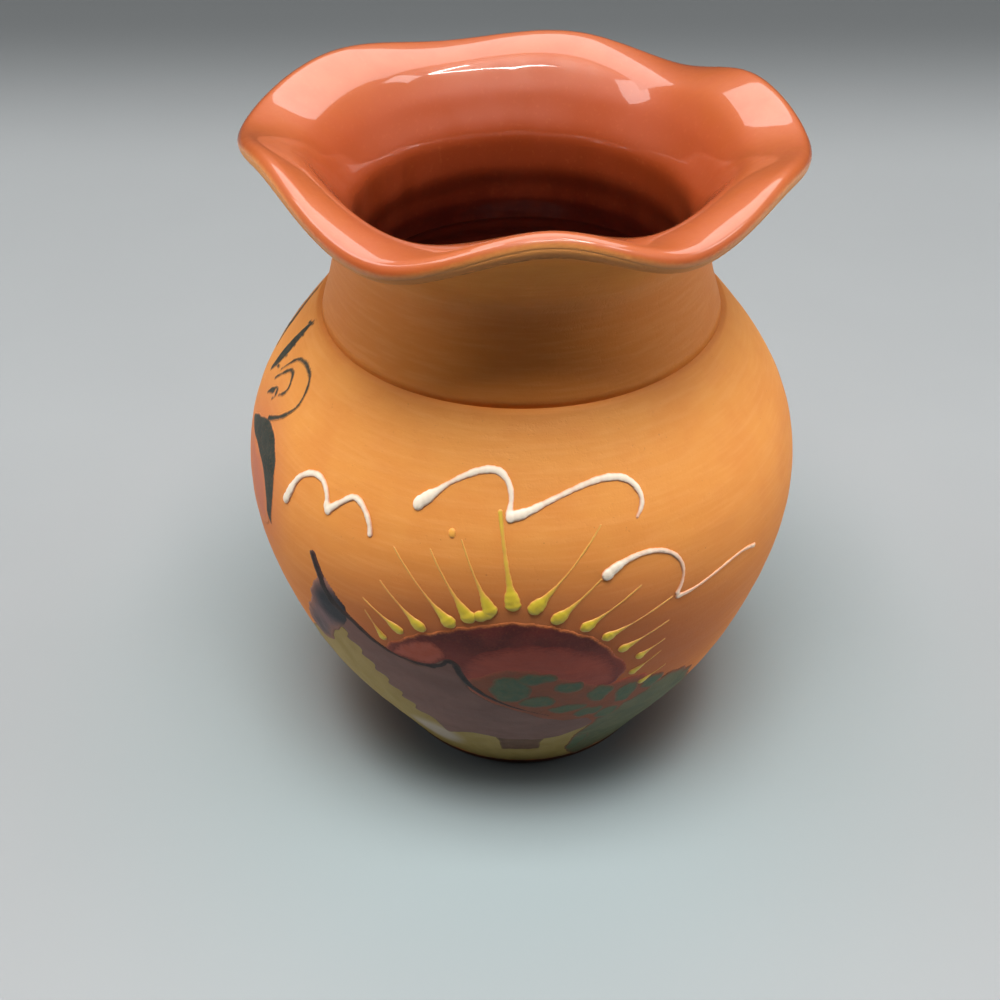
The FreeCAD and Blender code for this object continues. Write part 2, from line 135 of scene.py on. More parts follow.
def polar(azimuth, radius, z):
    """Points round the axis. Azimuths in degrees."""
    a = np.radians(azimuth)
    return np.stack(np.broadcast_arrays(radius * np.cos(a), radius * np.sin(a), z), axis=-1)


# ---- the wall of the belly, with its throwing rings ----
def wall_relief(azimuth, z):
    """How far handwork moves the wall out, in metres. The depths are in mm."""
    a = np.radians(azimuth)
    rings = 0.03 * np.sin(z / MM * 1.15 + 0.6 * np.sin(a)) * np.sin(z / MM * 0.21 + 1.0)
    hand = 0.10 * np.sin(2 * a + z / MM * 0.05 + 0.7) + 0.05 * np.sin(5 * a - z / MM * 0.09)
    edges = smooth_step(z, 0, 12 * MM) * smooth_step(-z, -SHOULDER_Z, -SHOULDER_Z + 8 * MM)
    return (rings + hand) * MM * edges


def wall_slope(z):
    return (wall_profile(z + SLOPE_STEP) - wall_profile(z - SLOPE_STEP)) / (2 * SLOPE_STEP)


def on_wall(azimuth, z, lift=0.0):
    """Points on the belly's wall, lifted off it along its normal. Angles in degrees, the rest in metres."""
    azimuth, z = np.asarray(azimuth, float), np.asarray(z, float)
    r = wall_profile(z) + wall_relief(azimuth, z)
    run = wall_slope(z)
    length = np.sqrt(1 + run ** 2)
    return polar(azimuth, r + lift / length, z - lift * run / length)


# ---- meshes ----
def make_object(name, points, faces):
    mesh = bpy.data.meshes.new(name)
    mesh.from_pydata([tuple(p) for p in points], [], faces)
    mesh.validate()
    mesh.polygons.foreach_set("use_smooth", [True] * len(mesh.polygons))
    mesh.update()
    obj = bpy.data.objects.new(name, mesh)
    bpy.context.scene.collection.objects.link(obj)
    return obj


def set_attribute(obj, name, values):
    layer = obj.data.attributes.new(name, "FLOAT", "POINT")
    layer.data.foreach_set("value", np.asarray(values, np.float32).ravel())


def bands(pairs):
    """Faces between pairs of rows round the axis."""
    return [(below * AROUND + j, below * AROUND + k, above * AROUND + k, above * AROUND + j)
            for below, above in pairs for j, k in NEIGHBOURS]


def ring_solid(name, rows):
    """Closed solid from rows of points round the axis. The last row joins the first."""
    return make_object(name, np.vstack(rows), bands((i, (i + 1) % len(rows)) for i in range(len(rows))))


def capped_solid(name, rows, start, end):
    """Closed solid from rows of points round the axis, closed at each end by a pole."""
    pole, last_row = len(rows) * AROUND, (len(rows) - 1) * AROUND
    faces = bands((i, i + 1) for i in range(len(rows) - 1))
    for j, k in NEIGHBOURS:
        faces.append((pole, k, j))
        faces.append((pole + 1, last_row + j, last_row + k))
    return make_object(name, np.vstack(rows + [[start, end]]), faces)


def finish_piece(piece, node):
    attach(piece, "root")
    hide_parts(node)
    return piece


# ---- clay and glaze ----
AZIMUTHS = np.arange(AROUND) * 360.0 / AROUND


def level_ring(radius, z):
    return polar(AZIMUTHS, radius, z)


def inner_radius(z, inset):
    """Inside of the belly, WALL and the inset behind its outside, square to it."""
    return wall_profile(z) - (WALL + inset) * np.sqrt(1 + wall_slope(z) ** 2)


THROAT_RADIUS = NECK[0][1] * MM - NECK_HALF_WALL
FLOOR_CURVE = [(12, 6.0), (21, 6.9), (28.5, 11.5)]      # radius and height up from the floor's flat middle
INNER_ROWS = 130
WALL_ROWS = 170


def inner_belly_rows(inset, rings=0.0):
    """Rows up the inside of the belly, from the floor to the throat, with throwing rings of a depth."""
    floor = [(r * MM, z * MM + inset) for r, z in FLOOR_CURVE]
    middle = [(inner_radius(z * MM, inset), z * MM) for z in (20, 32, 44, 56, 68, 78, 86)]
    top = [(37.5 * MM - inset, 93.5 * MM), (THROAT_RADIUS - inset, SHOULDER_Z)]
    rows = []
    for radius, z in spline(floor + middle + top)(np.linspace(0, 1, INNER_ROWS)):
        wave = rings * math.sin(z / MM * 1.05) * smooth_step(z, 12 * MM, 25 * MM)
        rows.append(level_ring(radius + wave, z))
    return rows


def build_belly():
    rows = [level_ring(r * MM, 0.0) for r in (8, 18, 25)]
    corner = wall_profile(FOOT_ROUND)
    for turn in range(0, 91, 15):
        a = math.radians(turn)
        rows.append(level_ring(corner - FOOT_ROUND * (1 - math.sin(a)), FOOT_ROUND * (1 - math.cos(a))))
    for z in np.linspace(FOOT_ROUND, SHOULDER_Z, WALL_ROWS)[1:]:
        rows.append(on_wall(AZIMUTHS, np.full(AROUND, z)))
    rows.append(level_ring(THROAT_RADIUS, SHOULDER_Z))
    rows += inner_belly_rows(0.0)[::-1][1:]
    belly = capped_solid("belly", rows, (0, 0, 0), (0, 0, FLOOR_Z))
    return finish_piece(belly, "belly_shell")


def rim_line():
    """The lip's middle line, as its radius and height at each azimuth."""
    loop = spline([(r * math.cos(math.radians(a)), r * math.sin(math.radians(a)), z) for a, r, z in RIM],
                  closed=True)(np.linspace(0, 1, 2000, endpoint=False))
    angle = np.degrees(np.arctan2(loop[:, 1], loop[:, 0])) % 360
    order = np.argsort(angle)
    radius, z = np.hypot(loop[:, 0], loop[:, 1])[order], loop[order, 2]
    return (np.interp(AZIMUTHS, angle[order], radius, period=360) * MM,
            np.interp(AZIMUTHS, angle[order], z, period=360) * MM)


RIM_RADIUS, RIM_Z = rim_line()


def collar_middle(t):
    radius = neck_profile(t * REACH / MM) * MM + (RIM_RADIUS - NECK[-1][1] * MM) * t ** RUFFLE_GROWTH
    return radius, SHOULDER_Z + REACH * t + (RIM_Z - SHOULDER_Z - REACH) * t ** ROLL


def collar_row(t, side, depth=0.0):
    """Row round the collar. side is +90 outside, 0 on top of the lip and -90 inside, in degrees."""
    half = NECK_HALF_WALL + (LIP_HALF_WALL - NECK_HALF_WALL) * t + depth
    radius, z = collar_middle(t)
    low_radius, low_z = collar_middle(t - CLIMB_STEP) if t > CLIMB_STEP else (radius, z - MM)
    run, rise = radius - low_radius, z - low_z
    length = np.hypot(run, rise)
    run, rise = run / length, rise / length
    out, over = math.sin(math.radians(side)) * half, math.cos(math.radians(side)) * half
    uneven = UNEVEN_LIP * np.sin(np.radians(AZIMUTHS) * 3 + t * 4) * t
    return level_ring(radius + rise * out + run * over + uneven, z + rise * over - run * out)


CLIMB = np.linspace(0, 1, 44)
LIP_TURNS = range(78, -79, -12)     # sides of the rows that round the lip, between its two walls


def build_collar():
    rows = [collar_row(t, 90) for t in CLIMB]
    rows += [collar_row(1.0, side) for side in LIP_TURNS]
    rows += [collar_row(t, -90) for t in CLIMB[::-1]]
    collar = ring_solid("collar", rows)
    return finish_piece(collar, "neck_collar")


# the glaze's edge on the lip: side of the row, share of the full thickness, share of the full colour
GLAZE_EDGE = [(16, -0.1, 0.0), (6, 0.25, 0.15), (-8, 0.6, 0.4), (-24, 0.9, 0.7), (-42, 1, 0.9), (-58, 1, 1.0),
              (-74, 1, 1.0)]
GLAZE_BACK = 0.05 * MM      # how far in front of the clay the glaze's hidden face lies
GLAZE_TUCK = -0.3 * MM      # and how far behind the clay of the lip it ends
GLAZE_RING = 0.16 * MM      # depth of the throwing rings in the throat


def build_glaze():
    """The poured coat: down the inside of the lip, the throat and the belly, and over the floor."""
    inside = [collar_row(1.0, side, GLAZE * share) for side, share, _ in GLAZE_EDGE]
    for t in CLIMB[::-1]:
        ring = GLAZE_RING * math.sin(t * 31 * 1.1) * (1 - t) ** 0.5
        inside.append(collar_row(t, -90, GLAZE) + level_ring(ring, 0.0))
    inside += inner_belly_rows(GLAZE, rings=0.25 * MM)[::-1][1:]
    back_z = FLOOR_Z + 0.1 * MM
    back = [level_ring(0.2 * MM, back_z)] + inner_belly_rows(GLAZE_BACK)
    back += [collar_row(t, -90, GLAZE_BACK) for t in CLIMB]
    back += [collar_row(1.0, side, GLAZE_TUCK) for side in (-74, -42, -8, 16)]
    glaze = capped_solid("glaze", back + inside, (0, 0, back_z), (0, 0, FLOOR_Z + GLAZE))
    return finish_piece(glaze, "inner_glaze")


# ---- brushed coats ----
def metric(points):
    """(azimuth, height in mm) as flat millimetres."""
    p = np.asarray(points, float)
    return np.stack([p[:, 0] * MM_PER_DEGREE, p[:, 1]], axis=-1)


def roughened(edge, amount, scale, seed):
    """A closed outline, pushed in and out along its normals as a loaded brush leaves it."""
    along = np.roll(edge, -1, axis=0) - np.roll(edge, 1, axis=0)
    normal = np.stack([along[:, 1], -along[:, 0]], axis=-1)
    normal /= np.linalg.norm(normal, axis=1)[:, None] + 1e-9
    return edge + normal * (amount * waves(edge[:, 0], edge[:, 1], scale, seed))[:, None]


def distance_to_edge(points, edge):
    """Signed distance from each point to a closed outline, above 0 inside, and the nearest point on it."""
    a, b = edge, np.roll(edge, -1, axis=0)
    ab = b - a
    best = np.full(len(points), np.inf)
    near = np.zeros_like(points)
    inside = np.zeros(len(points), bool)
    for start, step in zip(a, ab):
        t = np.clip(((points - start) @ step) / (step @ step + 1e-12), 0, 1)
        foot = start + t[:, None] * step
        d = np.hypot(*(points - foot).T)
        closer = d < best
        best[closer], near[closer] = d[closer], foot[closer]
        y0, y1 = start[1], start[1] + step[1]
        crosses = (points[:, 1] < y0) != (points[:, 1] < y1)
        if y1 != y0:
            x = start[0] + (points[:, 1] - y0) / (y1 - y0) * step[0]
            inside ^= crosses & (points[:, 0] < x)
    return np.where(inside, best, -best), near


def coat_sheet(outline, cell, lift, name):
    """Thin closed solid on the wall, inside an outline in flat millimetres, thinning to its rim."""
    low, high = outline.min(0) - cell, outline.max(0) + cell
    xs, ys = np.arange(low[0], high[0] + cell, cell), np.arange(low[1], high[1] + cell, cell)
    gx, gy = np.meshgrid(xs, ys)
    grid = np.stack([gx.ravel(), gy.ravel()], axis=-1)
    depth, near = distance_to_edge(grid, outline)
    snap = (depth < 0) & (depth > -0.75 * cell)
    grid[snap], depth[snap] = near[snap], 0.0
    keep = (depth >= 0).reshape(gx.shape)
    cells = keep[:-1, :-1] & keep[1:, :-1] & keep[:-1, 1:] & keep[1:, 1:]
    columns = len(xs)
    quads = [(i * columns + j, i * columns + j + 1, (i + 1) * columns + j + 1, (i + 1) * columns + j)
             for i, j in zip(*np.nonzero(cells))]
    used = np.unique(np.array(quads).ravel())
    new_index = np.full(len(grid), -1)
    new_index[used] = np.arange(len(used))
    grid, depth = grid[used], depth[used]
    azimuth, z = grid[:, 0] / MM_PER_DEGREE, grid[:, 1] * MM
    thickness = lift * smooth_step(depth, -0.1, 0.6) * (1 + 0.25 * waves(grid[:, 0], grid[:, 1], 1.1, 3.0))
    top = on_wall(azimuth, z, thickness * MM + 0.01 * MM)
    under = on_wall(azimuth, z, np.full(len(z), -SUNK * MM))
    count = len(grid)
    quads = [tuple(new_index[list(q)]) for q in quads]
    sides = {}              # the edges that only one quad has, in order
    for q in quads:
        for a, b in zip(q, q[1:] + q[:1]):
            if (b, a) in sides:
                del sides[(b, a)]
            else:
                sides[(a, b)] = True
    faces = quads + [tuple(i + count for i in q[::-1]) for q in quads]
    faces += [(b, a, a + count, b + count) for a, b in sides]
    obj = make_object(name, np.vstack([top, under]), [tuple(int(i) for i in f) for f in faces])
    set_attribute(obj, "depth", np.concatenate([depth, depth]))
    return obj


AREA_STEP, STROKE_STEP, TRAIL_STEP = 0.5, 0.35, 0.22    # mm between points along outlines and beads
AREA_WAVE, STROKE_WAVE = 1.3, 0.9                       # scale of an edge's unevenness, in mm


def area(points, rough=0.25, seed=1.0, curved=True):
    """Outline of a painted area through (azimuth, height in mm) points."""
    edge = metric(points)
    if curved:
        length = np.linalg.norm(np.diff(np.vstack([edge, edge[:1]]), axis=0), axis=1).sum()
        edge = spline(edge, closed=True)(np.linspace(0, 1, max(40, int(length / AREA_STEP)), endpoint=False))
    return roughened(edge, rough, AREA_WAVE, seed)


def stroke(path, rough=0.1, seed=1.0):
    """Outline of a brush stroke along (azimuth, height, half width) points, all but the first in mm."""
    p = metric([q[:2] for q in path])
    widths = np.array([q[2] for q in path], float)
    line = spline(np.column_stack([p, widths]))
    length = np.linalg.norm(np.diff(p, axis=0), axis=1).sum()
    samples = line(np.linspace(0, 1, max(24, int(length / STROKE_STEP))))
    middle, half = samples[:, :2], np.maximum(samples[:, 2], 0.08)
    along = np.gradient(middle, axis=0)
    along /= np.linalg.norm(along, axis=1)[:, None]
    side = np.stack([-along[:, 1], along[:, 0]], axis=-1) * half[:, None]
    turns = np.radians(np.arange(-60, 61, 30))

    def cap(centre, forward, sideways):
        return [centre + math.sin(t) * sideways + math.cos(t) * forward for t in turns]

    head = cap(middle[-1], along[-1] * half[-1], side[-1])[::-1]
    tail = cap(middle[0], -along[0] * half[0], -side[0])[::-1]
    edge = np.vstack([middle + side, head, (middle - side)[::-1], tail])
    return roughened(edge, rough, STROKE_WAVE, seed)


CELL, FINE_CELL, LINE_CELL = 0.5, 0.4, 0.3      # mesh sizes of broad coats, dabs and lines, in mm


def brush_coat(name, coat, node, outlines, lift, cell=CELL):
    """One or more patches of the same paint, lift mm thick, joined as one piece."""
    parts = [coat_sheet(edge, cell, lift, f"{name}_{i}") for i, edge in enumerate(outlines)]
    piece = joined(parts, name)
    piece.data.materials.append(coat.material)
    return finish_piece(piece, node)


def joined(parts, name):
    if len(parts) > 1:
        with bpy.context.temp_override(active_object=parts[0], selected_editable_objects=parts):
            bpy.ops.object.join()
    parts[0].name = parts[0].data.name = name
    return parts[0]


# ---- trailed slip ----
SLIP_HEIGHT = 0.62          # height of a bead against half its width
SLIP_SIDES = 14             # points of a bead's section
SLIP_VOXEL = 0.16 * MM      # grid of the skin that runs over joined beads


def trail(path, tall=SLIP_HEIGHT, seed=0.0):
    """Bead of slip along (azimuth, height, half width) points in mm, as points and faces in metres."""
    p = metric([q[:2] for q in path])
    line = spline(np.column_stack([p, [q[2] for q in path]]))
    length = np.linalg.norm(np.diff(p, axis=0), axis=1).sum()
    count = max(16, int(length / TRAIL_STEP))
    t = (1 - np.cos(np.linspace(0, math.pi, count))) / 2 * 0.35 + np.linspace(0, 1, count) * 0.65
    samples = line(t)
    middle, half = samples[:, :2], np.maximum(samples[:, 2], 0.1)
    along = np.gradient(middle, axis=0)
    along /= np.linalg.norm(along, axis=1)[:, None]
    side = np.stack([-along[:, 1], along[:, 0]], axis=-1)
    run = t * length
    half = half * (1 + 0.06 * np.sin(run * 2.1 + seed) + 0.04 * np.sin(run * 5.3 + 2 * seed))
    for distance in (run, length - run):        # both ends are rounded
        half = half * np.sqrt(np.clip(1 - (1 - np.clip(distance / (half + 0.05), 0, 1)) ** 2, 0.02, 1))
    section = np.linspace(0, 2 * math.pi, SLIP_SIDES, endpoint=False)
    rows = []
    for c, s, h in zip(middle, side, half):
        across = c + s * (h * np.cos(section))[:, None]
        up = np.where(np.sin(section) > 0, np.sin(section) * h * tall, -SUNK)
        rows.append(on_wall(across[:, 0] / MM_PER_DEGREE, across[:, 1] * MM, up * MM))
    faces = []
    for i in range(len(rows) - 1):
        here, ahead = i * SLIP_SIDES, (i + 1) * SLIP_SIDES
        for j in range(SLIP_SIDES):
            k = (j + 1) % SLIP_SIDES
            faces.append((here + j, ahead + j, ahead + k, here + k))
    faces.append(tuple(range(SLIP_SIDES)))
    faces.append(tuple(range(ahead, ahead + SLIP_SIDES))[::-1])
    return np.vstack(rows), faces


def slip_piece(name, trails, material, node):
    """Trails run together as wet slip does: joined, remeshed as one skin and relaxed."""
    points, faces, offset = [], [], 0
    for p, f in trails:
        points.append(p)
        faces += [tuple(i + offset for i in face) for face in f]
        offset += len(p)
    raw = make_object(name + "_raw", np.vstack(points), faces)
    remesh = raw.modifiers.new("skin", "REMESH")
    remesh.mode = "VOXEL"
    remesh.voxel_size = SLIP_VOXEL
    relax = raw.modifiers.new("relax", "SMOOTH")
    relax.factor = 0.5
    relax.iterations = 3
    graph = bpy.context.evaluated_depsgraph_get()
    mesh = bpy.data.meshes.new_from_object(raw.evaluated_get(graph))
    bpy.data.objects.remove(raw)
    mesh.name = name
    mesh.polygons.foreach_set("use_smooth", [True] * len(mesh.polygons))
    piece = bpy.data.objects.new(name, mesh)
    bpy.context.scene.collection.objects.link(piece)
    co = np.zeros(len(mesh.vertices) * 3)
    mesh.vertices.foreach_get("co", co)
    co = co.reshape(-1, 3)
    azimuth = np.degrees(np.arctan2(co[:, 1], co[:, 0]))
    above = (np.hypot(co[:, 0], co[:, 1]) - wall_profile(co[:, 2]) - wall_relief(azimuth, co[:, 2])) / MM
    set_attribute(piece, "height", above)
    mesh.materials.clear()
    mesh.materials.append(material)
    return finish_piece(piece, node)


# ---- materials ----
class Nodes:
    """Short hands for building one material's nodes."""

    def __init__(self, name):
        self.material = bpy.data.materials.new(name)
        self.material.use_nodes = True
        self.tree = self.material.node_tree
        self.shader = self.tree.nodes["Principled BSDF"]
        self.place = self.add("ShaderNodeTexCoord").outputs["Object"]
        xyz = self.add("ShaderNodeSeparateXYZ", {"Vector": self.place})
        self.x, self.y, self.z = (xyz.outputs[k] for k in "XYZ")

    def add(self, kind, inputs=None, **settings):
        node = self.tree.nodes.new(kind)
        for key, value in settings.items():
            setattr(node, key, value)
        for key, value in (inputs or {}).items():
            self.feed(node.inputs[key], value)
        return node

    def feed(self, socket, value):
        if isinstance(value, bpy.types.NodeSocket):
            self.tree.links.new(value, socket)
        else:
            socket.default_value = value

    def set(self, name, value):
        self.feed(self.shader.inputs[name], value)

    def math(self, operation, a, b=0.0):
        node = self.add("ShaderNodeMath", operation=operation)
        for socket, value in zip(node.inputs, (a, b)):
            self.feed(socket, value)
        return node.outputs[0]

    def length(self, a, b):
        return self.math("SQRT", self.math("ADD", self.math("POWER", a, 2.0), self.math("POWER", b, 2.0)))

    def height_above(self, height):
        """Millimetres above a height in mm."""
        return self.math("SUBTRACT", self.math("MULTIPLY", self.z, 1 / MM), height)

    def ramp(self, value, low, high, to_low=0.0, to_high=1.0):
        """value from low..high eased to to_low..to_high."""
        node = self.add("ShaderNodeMapRange", interpolation_type="SMOOTHSTEP")
        for socket, v in zip(node.inputs, (value, low, high, to_low, to_high)):
            self.feed(socket, v)
        return node.outputs[0]

    def mix(self, share, a, b, blend="MIX"):
        node = self.add("ShaderNodeMix", data_type="RGBA", blend_type=blend)
        self.feed(node.inputs[0], share)
        self.feed(node.inputs[6], a)
        self.feed(node.inputs[7], b)
        return node.outputs[2]

    def noise(self, size_mm, detail=3.0, stretch=(1, 1, 1), roughness=0.55, distortion=0.0):
        """Noise about 0 to 1 with grains of a size in mm, stretched along the axes."""
        scaled = self.add("ShaderNodeMapping", {"Vector": self.place,
                                                "Scale": tuple(1 / (size_mm * MM * s) for s in stretch)})
        node = self.add("ShaderNodeTexNoise", {"Vector": scaled.outputs[0], "Scale": 1.0, "Detail": detail,
                                               "Roughness": roughness, "Distortion": distortion})
        return node.outputs[0]

    def azimuth(self):
        """Degrees round the axis, from -180 to 180, 0 at +X."""
        return self.math("MULTIPLY", self.math("ARCTAN2", self.y, self.x), 180 / math.pi)

    def attribute(self, name):
        return self.add("ShaderNodeAttribute", attribute_name=name).outputs["Fac"]

    def bump(self, height, distance_mm, strength=1.0, normal=None):
        node = self.add("ShaderNodeBump",
                        {"Height": height, "Distance": distance_mm * MM, "Strength": strength})
        if normal is not None:
            self.feed(node.inputs["Normal"], normal)
        return node.outputs[0]


def srgb(r, g, b):
    """Linear colour from 0 to 255 display values."""
    shares = (r / 255, g / 255, b / 255)
    return tuple(c / 12.92 if c <= 0.04045 else ((c + 0.055) / 1.055) ** 2.4 for c in shares) + (1.0,)


# the ground's colours, from the shoulder and the lip down to the foot, and round the sun and the scroll; and
# painted shade on the neck under the lip
OCHRE = srgb(224, 148, 70)
OCHRE_YELLOW = srgb(220, 148, 68)
NECK_PAINTED_SHADE = srgb(208, 124, 48)
ORANGE = srgb(210, 124, 55)
HAZE = srgb(172, 92, 52)
SMOKE = srgb(196, 112, 72)
LIP_OCHRE = srgb(220, 146, 78)
SUN_PLACE, SCROLL_PLACE = (-89, 46), (-162, 70)     # azimuth, height in mm


def ground(n):
    """The matte ochre slip: its colour, and the brush's streaks in it."""
    azimuth = n.azimuth()
    mottle = n.noise(9, 4)
    streaks = n.noise(2.2, 3, stretch=(4, 4, 0.35))
    colour = n.mix(n.ramp(n.z, 45 * MM, 92 * MM), ORANGE, OCHRE)
    # painted shade: the neck under the lip turns darker and redder, as in the lip's shadow with orange light
    # bounced from the shoulder
    colour = n.mix(n.ramp(n.z, 96 * MM, 101 * MM), colour, NECK_PAINTED_SHADE)
    colour = n.mix(n.ramp(n.z, 112 * MM, 124 * MM), colour, OCHRE_YELLOW)
    colour = n.mix(n.ramp(mottle, 0.35, 0.7, 0.0, 0.35), colour, ORANGE)
    colour = n.mix(n.ramp(streaks, 0.4, 0.75, 0.0, 0.18), colour, srgb(236, 170, 104))
    # brown-red haze sprayed round the sun
    across = n.math("MULTIPLY", n.math("SUBTRACT", azimuth, SUN_PLACE[0]), 0.55)
    reach = n.length(across, n.height_above(SUN_PLACE[1]))
    haze = n.ramp(n.math("ADD", reach, n.math("MULTIPLY", mottle, 6.0)), 38.0, 18.0)
    colour = n.mix(n.math("MULTIPLY", haze, 0.8), colour, HAZE)
    # soft smoke under the scroll
    reach = n.length(n.math("SUBTRACT", azimuth, SCROLL_PLACE[0]), n.height_above(SCROLL_PLACE[1]))
    colour = n.mix(n.ramp(reach, 22.0, 8.0, 0.0, 0.7), colour, SMOKE)
    return colour, streaks


def clay_finish(n, streaks, base_roughness=0.62):
    """Dry, finely grained and pitted surface, with the brush's streaks."""
    grain = n.noise(0.35, 2)
    pits = n.noise(1.3, 3, roughness=0.7)
    rough = n.math("ADD", n.math("MULTIPLY", grain, 0.14), base_roughness)
    n.set("Roughness", rough)
    n.set("Specular IOR Level", 0.32)
    first = n.bump(grain, 0.02)
    second = n.bump(n.ramp(pits, 0.28, 0.5), 0.015, normal=first)
    n.set("Normal", n.bump(streaks, 0.03, normal=second))


def slip_ground():
    n = Nodes("ochre_slip")
    colour, streaks = ground(n)
    speck = n.noise(0.8, 2, roughness=0.8)
    colour = n.mix(n.ramp(speck, 0.70, 0.78, 0.0, 0.5), colour, srgb(150, 84, 48))
    # painted shade on the foot and on the face it stands on, darkest at the bottom where the pot meets the
    # floor
    foot = n.ramp(n.math("ADD", n.z, n.math("MULTIPLY", n.noise(3, 3), 1.5 * MM)), 4.0 * MM, 2.2 * MM)
    colour = n.mix(foot, colour, srgb(66, 38, 26))
    n.set("Base Color", colour)
    clay_finish(n, streaks)
    return n.material


def collar_slip():
    n = Nodes("collar_slip")
    colour, streaks = ground(n)
    roll = n.ramp(n.attribute("climb"), 0.96, 1.0)
    colour = n.mix(roll, colour, LIP_OCHRE)
    # a dark line round the lip's outer edge, strongest at the front left
    dark_lip_line = n.noise(1.4, 4, stretch=(1.6, 1.6, 0.5), roughness=0.7)
    mark = n.math("MULTIPLY", n.ramp(dark_lip_line, 0.38, 0.58), n.attribute("dark_lip_line"))
    colour = n.mix(mark, colour, srgb(92, 56, 28))
    n.set("Base Color", colour)
    clay_finish(n, streaks, 0.45)
    return n.material


def iron_glaze():
    n = Nodes("iron_glaze")
    flow = n.noise(5, 4, stretch=(1, 1, 2.5), distortion=0.4)
    fine = n.noise(0.9, 3)
    # painted shade: the glaze darkens down into the throat's hollow, and is paler towards the lip
    colour = n.mix(n.ramp(n.z, 98 * MM, 130 * MM), srgb(104, 28, 12), srgb(172, 74, 28))
    colour = n.mix(n.ramp(n.z, 124 * MM, 133 * MM, 0.0, 0.6), colour, srgb(192, 102, 48))
    colour = n.mix(n.ramp(flow, 0.35, 0.7, 0.0, 0.25), colour, srgb(170, 70, 30))
    colour = n.mix(n.ramp(fine, 0.55, 0.8, 0.0, 0.15), colour, srgb(210, 120, 70))
    ragged = n.math("MULTIPLY", n.math("SUBTRACT", fine, 0.5), 0.3)
    full = n.ramp(n.math("ADD", n.attribute("body"), ragged), 0.05, 0.8)
    n.set("Base Color", n.mix(full, LIP_OCHRE, colour))
    n.set("Roughness", n.ramp(flow, 0.3, 0.8, 0.36, 0.5))
    n.set("Coat Weight", full)
    n.set("Coat Roughness", 0.045)
    n.set("Normal", n.bump(flow, 0.10, 0.5))
    return n.material


def paint(name, colour, second, feather=0.8, patch=3.0, stretch=(1, 1, 1), cover=1.0, gloss=0.55, over=None):
    """Brushed paint. Its edge thins to the ground's colour, or to the paint it lies over."""
    n = Nodes(name)
    bare, streaks = ground(n)
    under = bare if over is None else over
    body = n.noise(patch, 4, stretch=stretch, distortion=0.5)
    hairs = n.noise(0.5, 2, stretch=stretch)
    coat = n.mix(n.ramp(body, 0.32, 0.68), colour, second)
    coat = n.mix(n.ramp(hairs, 0.45, 0.8, 0.0, 0.12), coat, under)
    edge = n.math("ADD", n.attribute("depth"), n.math("MULTIPLY", n.math("SUBTRACT", hairs, 0.5), feather))
    share = n.math("MULTIPLY", n.ramp(edge, 0.0, feather), cover)
    n.colour = n.mix(share, under, coat)
    n.set("Base Color", n.colour)
    clay_finish(n, streaks, gloss)
    return n


def tint_round(n, azimuth, height, reach, colour, share=1.0):
    """Lays another colour softly over a round patch of paint, within reach mm of an azimuth and height."""
    across = n.math("MULTIPLY", n.math("SUBTRACT", n.azimuth(), azimuth), MM_PER_DEGREE * 0.9)
    away = n.length(across, n.height_above(height))
    n.colour = n.mix(n.ramp(away, reach, reach * 0.4, 0.0, share), n.colour, colour)
    n.set("Base Color", n.colour)


def slip(name, thick, thin, bare, full):
    """Trailed slip: full colour where it is thick, and the wall shows through where it thins (in mm)."""
    n = Nodes(name)
    under, _ = ground(n)
    height = n.attribute("height")
    cloud = n.noise(1.1, 3)
    colour = n.mix(n.ramp(height, bare * 0.2, bare), under, thin)
    uneven = n.math("ADD", height, n.math("MULTIPLY", cloud, 0.12))
    colour = n.mix(n.ramp(uneven, bare * 1.6, full), colour, thick)
    n.set("Base Color", colour)
    n.set("Roughness", n.ramp(cloud, 0.2, 0.8, 0.38, 0.55))
    n.set("Normal", n.bump(cloud, 0.05))
    return n.material


# ---- the scene on the vase ----
def dress_clay(belly, collar, glaze):
    """Materials of the clay and the glaze, and the values on their meshes that these read."""
    belly.data.materials.append(slip_ground())
    sides = [90.0] * len(CLIMB) + list(LIP_TURNS) + [-90.0] * len(CLIMB)
    climbs = list(CLIMB) + [1.0] * len(LIP_TURNS) + list(CLIMB[::-1])
    over, climb = (np.repeat(np.array(values, float), AROUND) for values in (sides, climbs))
    azimuth = np.tile(AZIMUTHS, len(sides))
    front_left = smooth_step(-np.abs((azimuth + 135 + 180) % 360 - 180), -75, -35)
    # share of the dark line round the lip's outer edge, strongest at the front left
    dark_lip_share = np.exp(-((over - 84 + (1 - climb) * 400) / 26) ** 2) * (0.3 + 0.7 * front_left)
    set_attribute(collar, "climb", climb)
    set_attribute(collar, "dark_lip_line", dark_lip_share)
    collar.data.materials.append(collar_slip())
    rows = len(glaze.data.vertices) // AROUND
    body = np.ones(rows * AROUND + 2)
    first = rows - INNER_ROWS + 1 - len(CLIMB) - len(GLAZE_EDGE)
    for k, (_, _, share) in enumerate(GLAZE_EDGE, start=first):
        body[k * AROUND:(k + 1) * AROUND] = share
    set_attribute(glaze, "body", body)
    glaze.data.materials.append(iron_glaze())


